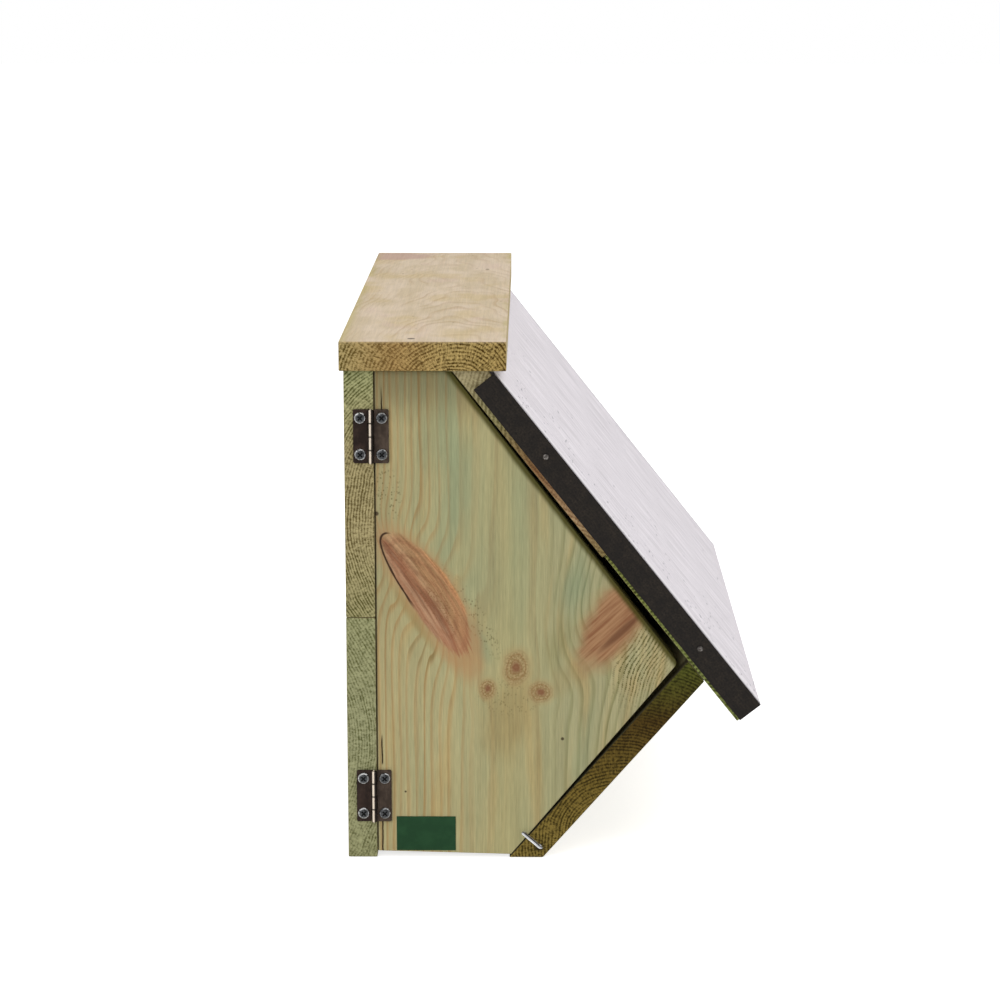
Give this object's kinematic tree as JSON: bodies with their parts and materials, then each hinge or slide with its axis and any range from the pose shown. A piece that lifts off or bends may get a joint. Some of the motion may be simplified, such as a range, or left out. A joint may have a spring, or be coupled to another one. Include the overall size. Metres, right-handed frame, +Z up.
{
  "type": "swift nest box",
  "caption": "Wooden swift nest box for a wall: sloping covered roof, sloping lower board with an oval entrance, hinged five-sided inspection door at one end held by a turn hook.",
  "frame": {"origin": "middle of the overall size in X and Y, at the level of the flat base", "axes": "+X outward from the wall, +Y along the box from the door end to the fixed end, +Z up"},
  "size_m": [0.2428, 0.43, 0.307],
  "materials": {
    "wood": "sawn pressure-treated softwood",
    "roof_cover": "matt light grey sheet",
    "edge_strip": "matt black",
    "hinge": "browned steel",
    "hinge_screw": "darkened steel",
    "fastener": "plated steel",
    "hook": "bright zinc plated wire",
    "sticker": "plain green label, blank"
  },
  "bodies": {
    "box": {"back_board_lower": "wood", "back_board_upper": "wood", "top_plank": "wood", "roof_board_upper": "wood", "roof_board_lower": "wood", "entrance_board": "wood", "floor_board": "wood", "end_panel": "wood", "roof_cover": "roof_cover", "edge_strip_near": "edge_strip", "edge_strip_far": "edge_strip", "hinge_frame_leaf_upper": "hinge", "hinge_pin_upper": "hinge", "hinge_frame_leaf_lower": "hinge", "hinge_pin_lower": "hinge", "hinge_screw_upper_frame_1": "hinge_screw", "hinge_screw_upper_frame_2": "hinge_screw", "hinge_screw_lower_frame_1": "hinge_screw", "hinge_screw_lower_frame_2": "hinge_screw", "strip_nail_near_1": "fastener", "strip_nail_near_2": "fastener", "strip_nail_far_1": "fastener", "strip_nail_far_2": "fastener", "back_screw_1": "fastener", "back_screw_2": "fastener", "back_screw_3": "fastener", "back_screw_4": "fastener", "floor_screw_1": "fastener", "floor_screw_2": "fastener", "floor_screw_3": "fastener", "side_screw_1": "fastener", "side_screw_2": "fastener", "end_screw_1": "fastener", "end_screw_2": "fastener", "eave_screw_1": "fastener", "eave_screw_2": "fastener", "eave_screw_3": "fastener", "roof_screw_1": "fastener", "roof_screw_2": "fastener"},
    "door": {"door_panel": "wood", "hinge_door_leaf_upper": "hinge", "hinge_door_leaf_lower": "hinge", "blank_sticker": "sticker", "hinge_screw_upper_door_1": "hinge_screw", "hinge_screw_upper_door_2": "hinge_screw", "hinge_screw_lower_door_1": "hinge_screw", "hinge_screw_lower_door_2": "hinge_screw"},
    "hook": {"turn_hook": "hook"}
  },
  "joints": [
    {"name": "door_swing", "type": "hinge", "parent": "box", "child": "door", "pos_m": [-0.10356, -0.2121, 0.145], "axis": [0, 0, -1], "range_deg": [0, 110]},
    {"name": "hook_turn", "type": "hinge", "parent": "box", "child": "hook", "pos_m": [-0.00578, -0.21, 0.007], "axis": [0, 1, 0], "range_deg": [0, 90]}
  ]
}
